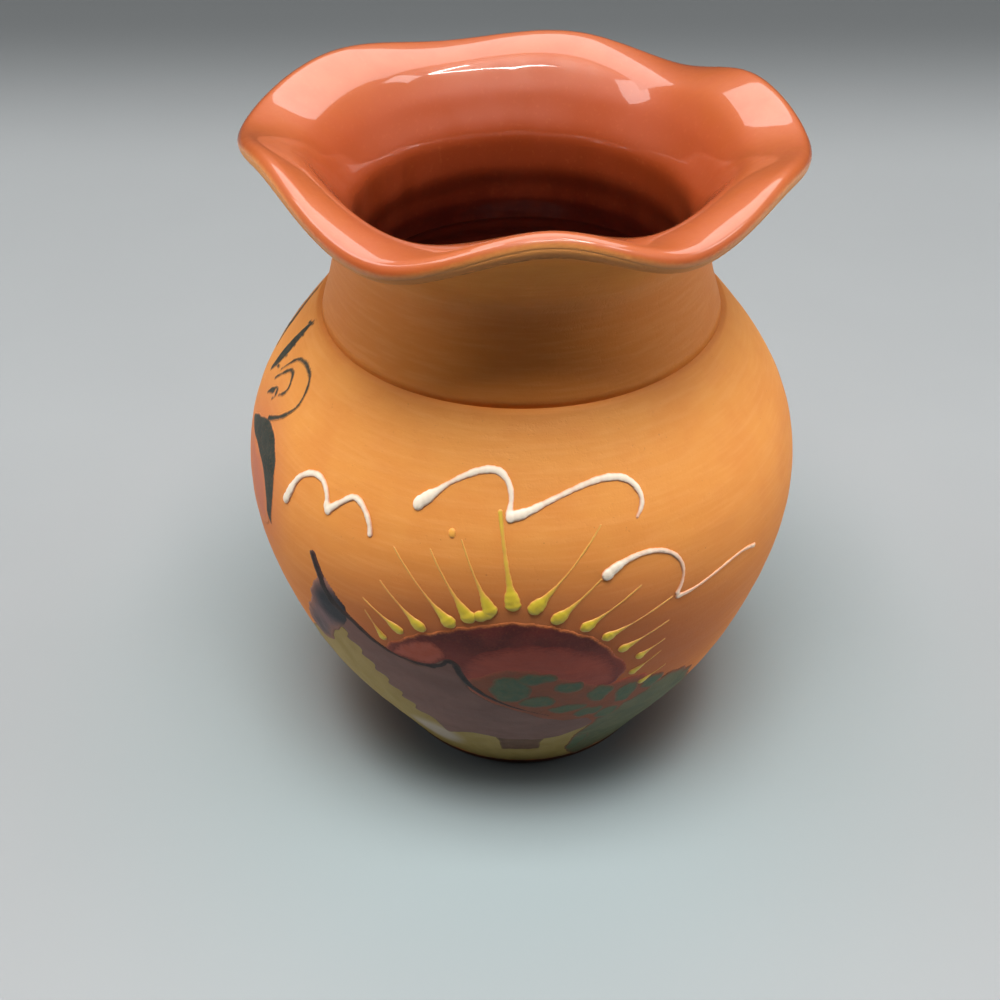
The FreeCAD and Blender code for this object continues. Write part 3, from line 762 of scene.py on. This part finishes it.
RAYS = [  # foot of the head (azimuth, height), tip of the tail (azimuth, height), half width; heights in mm
    ((-117.6, 54.2), (-121.5, 61.2), 0.95), ((-113, 58), (-121.7, 64), 1.15),
    ((-108.3, 60.1), (-117.6, 69.5), 1.3), ((-102.4, 62.6), (-115, 76.8), 1.4),
    ((-98.9, 64.2), (-107.6, 78), 1.45), ((-95.1, 66.2), (-101.6, 80.4), 1.4),
    ((-91.3, 67.4), (-94.3, 85.4), 1.55), ((-88.7, 67), (-74.2, 82.2), 1.45),
    ((-84.6, 64.6), (-74.8, 73), 1.35), ((-79.2, 62.3), (-67, 70), 1.2),
    ((-75, 59.2), (-60.2, 65.2), 1.15), ((-71.3, 54.9), (-60.4, 59.4), 1.1),
    ((-66.9, 51), (-60.4, 54.3), 1.1), ((-67.3, 45.8), (-60.4, 50.6), 1.0),
    ((-64, 40.8), (-57.4, 44.3), 1.0)]
CENTRE_RAY = 7              # the broad one
BRIDGED_RAYS = (5, 6)       # two whose heads ran together
RAY_TALL = 0.45             # height of a ray's bead against half its width


def ray_path(head, tail, half, broad):
    """A drop with a drawn-out tail. A broad ray stays loaded with slip to its tip."""
    start, end = np.array(head), np.array(tail)
    length = np.hypot((end[0] - start[0]) * MM_PER_DEGREE, end[1] - start[1])
    tip = 0.62 if broad else 0.24
    steps = [(0.15, 0.75), (0.9, 1.0), (2.0, 0.86), (3.2, 0.5), (4.6, 0.36 if broad else 0.28)]
    squeeze = min(1.0, 0.55 * length / (4.6 * half))
    path = [(*(start + (end - start) * step * half * squeeze / length), width * half)
            for step, width in steps]
    middle = (start + end) / 2 + (end - start) * 0.22
    return path + [(*middle, 0.42 if broad else 0.27), (*end, tip)]


def build_rays():
    yellow = slip("yellow_slip", srgb(206, 180, 50), srgb(212, 156, 74), 0.07, 0.46)
    for number, (head, tail, half) in enumerate(RAYS, start=1):
        path = ray_path(head, tail, half, number == CENTRE_RAY)
        slip_piece(f"ray_{number:02d}", [trail(path, RAY_TALL, seed=number)], yellow,
                   f"sun_ray_{number:02d}")
    (a0, z0), (a1, z1) = (RAYS[number - 1][0] for number in BRIDGED_RAYS)
    bridge = [(a0, z0 + 1.5, 1.2), ((a0 + a1) / 2, (z0 + z1) / 2 + 1.2, 1.25), (a1, z1 + 1.2, 1.2)]
    slip_piece("ray_bridge", [trail(bridge, RAY_TALL)], yellow, "sun_ray_bridge")
    amber = slip("amber_slip", srgb(232, 166, 72), srgb(226, 150, 70), 0.07, 0.5)
    slip_piece("stray_drop", [trail([(-103.5, 80.2, 0.7), (-103.4, 81.9, 0.8)], RAY_TALL)], amber,
               "stray_slip_drop")


BIRDS = {
    "bird_left": [
        [(-144.4, 73.6, 0.9), (-143.5, 75.5, 1.0), (-142, 79, 0.7), (-138.5, 81.8, 0.62), (-134.8, 82.2, 0.6),
         (-132.2, 80.2, 0.62), (-131.6, 77.8, 0.9)],
        [(-131.8, 77.4, 1.1), (-130.6, 78.6, 0.8), (-128, 80.7, 0.6), (-125.3, 82.2, 0.6), (-122.4, 81, 0.6),
         (-120.6, 78.6, 0.6), (-120.2, 76.8, 0.6)]],
    "bird_middle": [
        [(-112, 83.8, 1.0), (-110.5, 85, 1.15), (-108, 86.6, 0.8), (-106, 87.9, 0.5), (-102, 89.7, 0.55),
         (-97.3, 90.8, 0.6), (-93.8, 90.2, 0.65), (-92.2, 88, 0.62), (-92.2, 85.8, 0.6), (-92.8, 84.1, 0.7)],
        [(-93.2, 84.2, 1.1), (-91.3, 84.4, 0.95), (-86.3, 85.8, 0.6), (-78, 88, 0.5), (-70.5, 88.6, 0.62),
         (-66.2, 87, 0.65), (-65, 84.6, 0.6), (-67, 81.8, 0.35)]],
    "bird_right": [
        [(-74.8, 72.7, 1.0), (-73.4, 73.8, 1.1), (-71, 75, 0.75), (-66.5, 75.9, 0.55), (-61.6, 74.9, 0.5),
         (-58.4, 71.6, 0.45), (-58.4, 67.8, 0.4), (-59.7, 65.2, 0.62)],
        [(-59.9, 64.8, 0.7), (-57.6, 64.7, 0.5), (-52, 65.5, 0.4), (-46, 66.5, 0.38), (-41, 66.4, 0.42),
         (-37.4, 65.2, 0.6)]]}


def build_birds():
    white = slip("white_slip", srgb(238, 222, 200), srgb(222, 166, 134), 0.12, 0.5)
    for name, wings in BIRDS.items():
        trails = [trail(path, seed=k) for k, path in enumerate(wings)]
        slip_piece("slip_" + name, trails, white, name)


def scallops(start, end, count, depth):
    """Points of a wavy edge from start to end, with count bulges of depth degrees."""
    points = []
    for i in range(2 * count):
        part = i / (2 * count)
        push = depth if i % 2 else 0
        points.append((start[0] + (end[0] - start[0]) * part + push, start[1] + (end[1] - start[1]) * part))
    return points


def dab(azimuth, z, half_width, half_height, seed):
    turns = [math.radians(turn) for turn in range(0, 360, 30)]
    return area([(azimuth + half_width * math.cos(t), z + half_height * math.sin(t)) for t in turns],
                0.45, seed)


def straight_box(left, right, low, high):
    """Points close together round a box in (azimuth, height), clockwise from its top left."""
    across, down = np.linspace(0, 1, 14), np.linspace(0, 1, 16)
    wide, tall = right - left, high - low
    return [(left + wide * s, high) for s in across] + [(right, high - tall * s) for s in down[1:]] \
        + [(right - wide * s, low) for s in across[1:]] + [(left, low + tall * s) for s in down[1:-1]]


MAROON, RUST = srgb(104, 36, 30), srgb(126, 70, 46)


def build_land():
    rust = paint("rust_ground", RUST, srgb(136, 72, 44), feather=1.8, over=srgb(168, 78, 54))
    brush_coat("paint_rust", rust, "ground", [area([
        (-101.2, 48), (-98, 50.3), (-93.5, 52.6), (-88.5, 52.7), (-84, 50.8), (-78, 47.3), (-71, 44.4),
        (-66, 44.5), (-60, 41.5), (-55, 36.5), (-57, 30), (-70, 25), (-82, 31), (-91.5, 36)],
        0.4, 2.0)], 0.08)
    grey_green = paint("meadow_green", srgb(98, 98, 70), srgb(78, 86, 62), feather=1.6, patch=5, over=RUST)
    brush_coat("paint_meadow", grey_green, "meadow", [area([
        (-72.5, 27), (-69, 31), (-63, 35), (-58, 38.5), (-50, 38.5), (-44, 33), (-39, 24), (-40, 13),
        (-46, 4.5), (-58, 3), (-70, 3), (-73.8, 11), (-74.5, 20)], 0.7, 4.0)], 0.10)
    green = paint("leaf_green", srgb(70, 92, 70), srgb(88, 96, 68), feather=1.3, patch=2, over=RUST)
    dabs = [(-92.3, 45.3, 4.8, 5.0), (-87.2, 49, 4.6, 2.3), (-80.3, 45.6, 3.8, 2.5), (-73, 41.4, 3.2, 3.6),
            (-86.4, 40.8, 4.4, 2.6), (-80, 37, 4.8, 2.2), (-74.4, 34, 4.2, 2.4), (-66.4, 38.8, 3.3, 4.0),
            (-69, 31.5, 3.2, 3.2), (-59.5, 39.5, 3.4, 2.8), (-71.6, 13.5, 3.4, 7.5)]
    brush_coat("paint_foliage", green, "foliage_dabs",
               [dab(*d, seed=1.0 + 0.7 * k) for k, d in enumerate(dabs)], 0.12, FINE_CELL)


def build_sun():
    maroon = paint("sun_maroon", srgb(82, 26, 22), MAROON, feather=1.0, patch=5)
    # the lower half of the disc burns through redder
    low_half = maroon.ramp(maroon.z, 60 * MM, 50 * MM, 0.0, 0.8)
    maroon.set("Base Color", maroon.mix(low_half, maroon.colour, srgb(132, 52, 38)))
    brush_coat("paint_sun", maroon, "sun_disc", [area([
        (-118.4, 52), (-114, 56.5), (-107.4, 60.5), (-100.5, 63), (-94, 65), (-88.4, 65), (-82.3, 63.3),
        (-75.4, 59.2), (-71.2, 54), (-68.6, 47), (-73, 43.5), (-80, 47), (-88, 50.5), (-96, 49.5),
        (-102, 48), (-109, 49)], 0.3, 3.0)], 0.05)
    red = paint("sun_red", srgb(166, 72, 52), srgb(152, 66, 50), feather=3.2, patch=4, stretch=(2, 2, 0.6),
                over=srgb(112, 40, 32))
    brush_coat("paint_sun_glow", red, "sun_glow", [area([
        (-103, 46.5), (-96, 47.5), (-90, 48.5), (-84, 46.5), (-77, 42.5), (-70.5, 43.5), (-69.5, 48.5),
        (-73, 54.5), (-79, 58), (-86.5, 59.6), (-94, 59), (-100, 55.5), (-103, 51)], 0.3, 5.0)], 0.065)
    ember = paint("sun_ember", srgb(166, 74, 48), srgb(172, 84, 64), feather=1.8, patch=4,
                  over=srgb(96, 34, 28))
    brush_coat("paint_sun_side_glow", ember, "sun_side_glow", [area([
        (-116.8, 51), (-112, 49.8), (-107, 51), (-104.4, 54.6), (-107.3, 58.2), (-113.3, 56.4)],
        0.25, 6.0)], 0.065, FINE_CELL)


def build_house():
    wall = paint("wall_yellow", srgb(146, 122, 62), srgb(158, 134, 78), feather=0.8, patch=5,
                 stretch=(1, 1, 2.5), over=srgb(120, 96, 60))
    tint_round(wall, -117.5, 16.0, 9.0, srgb(176, 160, 148), 0.85)
    brush_coat("paint_side_wall", wall, "side_wall", [area([
        (-132.5, 54), (-139, 46.5), (-147, 40), (-151, 30), (-149, 18), (-143, 7), (-132, 3), (-118, 3),
        (-110, 6), (-109, 20), (-112, 27), (-117, 34), (-122, 42), (-127.5, 50)], 0.4, 1.5)], 0.04)
    brush_coat("paint_front_wall", wall, "front_wall", [area([
        (-113, 24), (-103, 27), (-93, 27), (-83, 27), (-75, 27.5), (-70, 25), (-69.5, 13), (-68.5, 3.5),
        (-80, 2.5), (-95, 2.5), (-110, 2.5), (-116.5, 4), (-114, 14)], 0.3, 2.5)], 0.055)
    brown = paint("door_brown", srgb(84, 56, 40), srgb(104, 72, 54), feather=1.2, patch=4,
                  over=srgb(132, 106, 58))
    brush_coat("paint_door", brown, "door",
               [area(straight_box(-97.3, -83.7, 11.5, 24), 0.25, 2.2, curved=False)], 0.075)
    mauve = paint("roof_mauve", srgb(122, 86, 78), srgb(112, 78, 70), feather=0.9, patch=6,
                  stretch=(1.6, 1.6, 0.8), over=srgb(96, 70, 54))
    left_eave = scallops((-131.5, 52.5), (-115.5, 25.5), 7, 1.8)
    brush_coat("paint_roof", mauve, "roof", [area(left_eave + [
        (-112, 19), (-107, 21.6), (-101.4, 22.6), (-95, 21), (-88, 20.6), (-80.5, 21), (-75.5, 23.6),
        (-71.5, 27), (-73, 30.8), (-79, 32), (-84.5, 34.2), (-90, 37.2), (-95, 40), (-99.2, 43.2),
        (-102, 48), (-104.6, 53.6), (-109, 50.6), (-115, 50.6), (-120.5, 52.8), (-125.6, 57),
        (-130.3, 58.5)], 0.2, 3.5)], 0.10)
    dusk = paint("dusk_blue", srgb(74, 64, 66), srgb(116, 88, 88), feather=2.4, patch=4,
                 stretch=(0.7, 0.7, 2), over=srgb(140, 96, 80))
    tint_round(dusk, -130.0, 57.0, 6.5, srgb(42, 42, 47))
    brush_coat("paint_roof_shadow", dusk, "roof_shadow", [area([
        (-131.8, 64), (-135.7, 60), (-139.5, 52), (-143.5, 44), (-141, 41), (-136.5, 43), (-131, 50),
        (-126.3, 55.6), (-127.4, 60)], 0.4, 1.2)], 0.12)
    black = paint("black_line", srgb(28, 20, 18), srgb(46, 34, 32), feather=0.8, patch=2,
                  over=srgb(84, 56, 50))
    brush_coat("paint_roof_ridge", black, "roof_ridge", [stroke([
        (-134.2, 67.8, 0.9), (-133.1, 65.2, 1.0), (-131.8, 62, 1.3), (-130, 58.8, 1.5), (-127, 56.9, 1.1),
        (-122.5, 53.6, 0.75), (-117, 50.7, 0.6), (-112, 50, 0.6), (-108, 50.2, 1.0)])], 0.14, LINE_CELL)
    brush_coat("paint_roof_gable", black, "roof_gable_line", [stroke([
        (-108, 50.4, 0.9), (-105.8, 51.6, 0.9), (-104.3, 52.9, 1.0), (-102.4, 49.6, 1.0),
        (-98.8, 43.8, 0.8), (-94, 40, 0.6), (-88, 36.8, 0.45), (-82, 34, 0.3)])], 0.14, LINE_CELL)


SCROLL_MIRROR = -180.0      # azimuth of the scroll's middle plane
INK = 0.06                  # thickness of the scroll's paint
INK_CELL = 0.35
CURLS = {
    "scroll_outer_curl": [(-168, 88.5, 0.45), (-163.5, 92.3, 0.55), (-157, 93.6, 0.6), (-152.5, 92.4, 0.6),
                          (-151.3, 89.8, 0.55), (-154.4, 85.8, 0.6), (-161, 82, 0.7)],
    "scroll_middle_curl": [(-168.5, 86.6, 0.5), (-165, 89.3, 0.55), (-160.7, 90.6, 0.6), (-159, 88.8, 0.6),
                           (-161.7, 86.3, 0.5)],
    "scroll_inner_curl": [(-168.5, 83.6, 0.4), (-166, 85.2, 0.8), (-163.4, 86, 0.9), (-164.2, 84.6, 0.5)]}


def both_sides(outlines):
    """Outlines, and the same ones on the far side of the scroll's middle plane."""
    edges = []
    for edge in outlines:
        edges.append(edge)
        other = edge[::-1].copy()
        other[:, 0] = 2 * SCROLL_MIRROR * MM_PER_DEGREE - other[:, 0]
        edges.append(other)
    return edges


def build_scroll():
    dark = paint("scroll_green", srgb(40, 48, 42), srgb(56, 60, 52), feather=0.5, patch=3)
    pink = paint("petal_pink", srgb(190, 112, 88), srgb(176, 104, 84), feather=3.0, patch=6, cover=0.7)
    brush_coat("paint_petal", pink, "scroll_petal", both_sides([area([
        (-170, 75), (-165, 76), (-159, 76.5), (-154, 74), (-152, 68), (-154.5, 62), (-160, 62),
        (-166, 68)], 0.5, 2.0)]), 0.03)
    brush_coat("ink_leaf", dark, "scroll_leaf", both_sides([area([
        (-172, 76.5), (-165, 80.5), (-158, 82.3), (-152.8, 80.4), (-150, 76), (-149.6, 69.5),
        (-150.8, 64.5), (-152.4, 66.5), (-153.6, 70.5), (-156, 73.6), (-160, 75.2), (-166, 75.6)],
        0.2, 4.0)]), INK, INK_CELL)
    for name, path in CURLS.items():
        brush_coat(name.replace("scroll", "ink"), dark, name,
                   both_sides([stroke(path)]), INK, LINE_CELL)
    barbs = [stroke([(-171.5, 96.5 - 2.2 * k, 0.6), (-168.6 - 0.4 * k, 97.2 - 2.3 * k, 0.5)])
             for k in range(5)]
    spine = stroke([(-169.5, 97.3, 0.7), (-171, 94, 1.6), (-172.5, 90, 2.0), (-175, 85.5, 0.8)])
    brush_coat("ink_feather", dark, "scroll_feather", both_sides([spine] + barbs),
               INK, INK_CELL)


# ---- stage, light and camera ----
FLOOR_HALF = 2.5
AIM = Vector((0, 0, 0.08))  # where the side windows point
LIGHT_HEIGHT = 1.0
TUBE_WIDTH = 0.05
TUBE_RADIANCE = 35
# corners of the frame of tubes, from above
TUBES = [(0.74, -0.26), (0.02, -0.13), (-0.14, -0.28), (-0.15, -0.45), (0.08, -0.60), (0.74, -0.26)]
# name, place from above, size from above, radiance
PANELS = [("panel_rear", 0.15, 0.55, 1.5, 0.9, 3.0), ("panel_left", 1.0, -0.12, 0.3, 0.3, 5.0),
          ("panel_right", -0.6, 0.05, 0.5, 0.4, 4.5)]
WINDOWS = [("left_window", -1, 6.4), ("right_window", 1, 6.6)]      # name, side, power
OVERHEAD_POWER = 13.8
ROOM, LOW_CEILING, HIGH_CEILING = 0.03, 0.03, 0.3                   # strengths of the world


def build_stage():
    half = FLOOR_HALF
    floor = make_object("floor", [(-half, -half, 0), (half, -half, 0), (half, half, 0), (-half, half, 0)],
                        [(0, 1, 2, 3)])
    n = Nodes("pale_paper")
    tone = n.mix(n.noise(60, 2), srgb(158, 161, 162), srgb(162, 165, 166))
    # painted shade: darker well behind the pot, and in front of it outside the main view
    tone = n.mix(n.ramp(n.y, 0.255, 0.42), tone, srgb(104, 107, 108))
    tone = n.mix(n.ramp(n.y, -0.09, -0.22), tone, srgb(40, 40, 40))
    # painted contact shadow where the pot stands, and painted shade a little bluer round it, against the
    # orange light from the pot
    away = n.length(n.x, n.y)
    tone = n.mix(n.ramp(away, 0.13, 0.05), tone, srgb(151, 162, 163))
    tone = n.mix(n.ramp(away, 0.046, 0.028), tone, srgb(84, 88, 89))
    n.set("Base Color", tone)
    n.set("Roughness", 0.75)
    n.set("Specular IOR Level", 0.2)
    floor.data.materials.append(n.material)


def area_light(name, place, size, power):
    """Rectangular light of a size and a power, facing down."""
    light = bpy.data.lights.new(name, "AREA")
    light.shape, light.size, light.size_y = "RECTANGLE", *size
    light.energy = power
    obj = bpy.data.objects.new(name, light)
    obj.location = place
    bpy.context.scene.collection.objects.link(obj)
    return obj


def build_world():
    """A faint room, and a pale ceiling that only shows in reflections."""
    world = bpy.data.worlds.new("studio")
    bpy.context.scene.world = world
    world.use_nodes = True
    tree = world.node_tree
    background = tree.nodes["Background"]
    background.inputs["Color"].default_value = (0.93, 0.97, 1.0, 1)
    direction = tree.nodes.new("ShaderNodeTexCoord").outputs["Generated"]
    up = tree.nodes.new("ShaderNodeSeparateXYZ")
    tree.links.new(direction, up.inputs[0])
    ceiling = tree.nodes.new("ShaderNodeMapRange")
    for socket, value in zip(ceiling.inputs, (0.0, 0.25, 0.95, LOW_CEILING, HIGH_CEILING)):
        socket.default_value = value
    tree.links.new(up.outputs["Z"], ceiling.inputs["Value"])
    mirrored_ray = tree.nodes.new("ShaderNodeLightPath").outputs["Is Glossy Ray"]
    strength = tree.nodes.new("ShaderNodeMix")
    strength.inputs[2].default_value = ROOM
    tree.links.new(mirrored_ray, strength.inputs[0])
    tree.links.new(ceiling.outputs[0], strength.inputs[3])
    tree.links.new(strength.outputs[0], background.inputs["Strength"])


def build_lights():
    overhead = area_light("soft_overhead", (0, -0.25, LIGHT_HEIGHT), (0.56, 0.44), OVERHEAD_POWER)
    overhead.visible_glossy = False
    # a hollow frame of tubes and paler panels round it, all only seen mirrored in the glaze
    for number, (start, end) in enumerate(zip(TUBES, TUBES[1:])):
        run, rise = end[0] - start[0], end[1] - start[1]
        length = math.hypot(run, rise)
        place = ((start[0] + end[0]) / 2, (start[1] + end[1]) / 2, LIGHT_HEIGHT)
        tube = area_light(f"tube_{number}", place, (length + 0.03, TUBE_WIDTH),
                          TUBE_RADIANCE * math.pi * TUBE_WIDTH * length)
        tube.rotation_euler = (0, 0, math.atan2(rise, run))
        tube.visible_diffuse = False
    for name, x, y, wide, deep, radiance in PANELS:
        panel = area_light(name, (x, y, LIGHT_HEIGHT), (wide, deep), radiance * math.pi * wide * deep)
        panel.visible_diffuse = False
    for name, side, power in WINDOWS:
        place = Vector((side, 0.08, 0.38))
        window = area_light(name, place, (0.7, 0.6), power)
        window.rotation_euler = (AIM - place).to_track_quat("-Z", "Y").to_euler()
        window.visible_glossy = False


CAMERA_PLACE = (0, -0.2468, 0.2413)
CAMERA_DOWN = 37.77         # degrees below the horizontal
LENS, SENSOR = 54, 36
SHIFT = -0.0215


def build_camera():
    data = bpy.data.cameras.new("camera")
    data.sensor_width = SENSOR
    data.lens = LENS
    data.shift_x = SHIFT
    camera = bpy.data.objects.new("camera", data)
    camera.location = CAMERA_PLACE
    camera.rotation_euler = (math.radians(90 - CAMERA_DOWN), 0, 0)
    bpy.context.scene.collection.objects.link(camera)
    bpy.context.scene.camera = camera


build_camera()
build_stage()
build_world()
build_lights()
bpy.context.scene.view_settings.view_transform = "Standard"
dress_clay(build_belly(), build_collar(), build_glaze())
build_land()
build_sun()
build_house()
build_scroll()
build_birds()
build_rays()
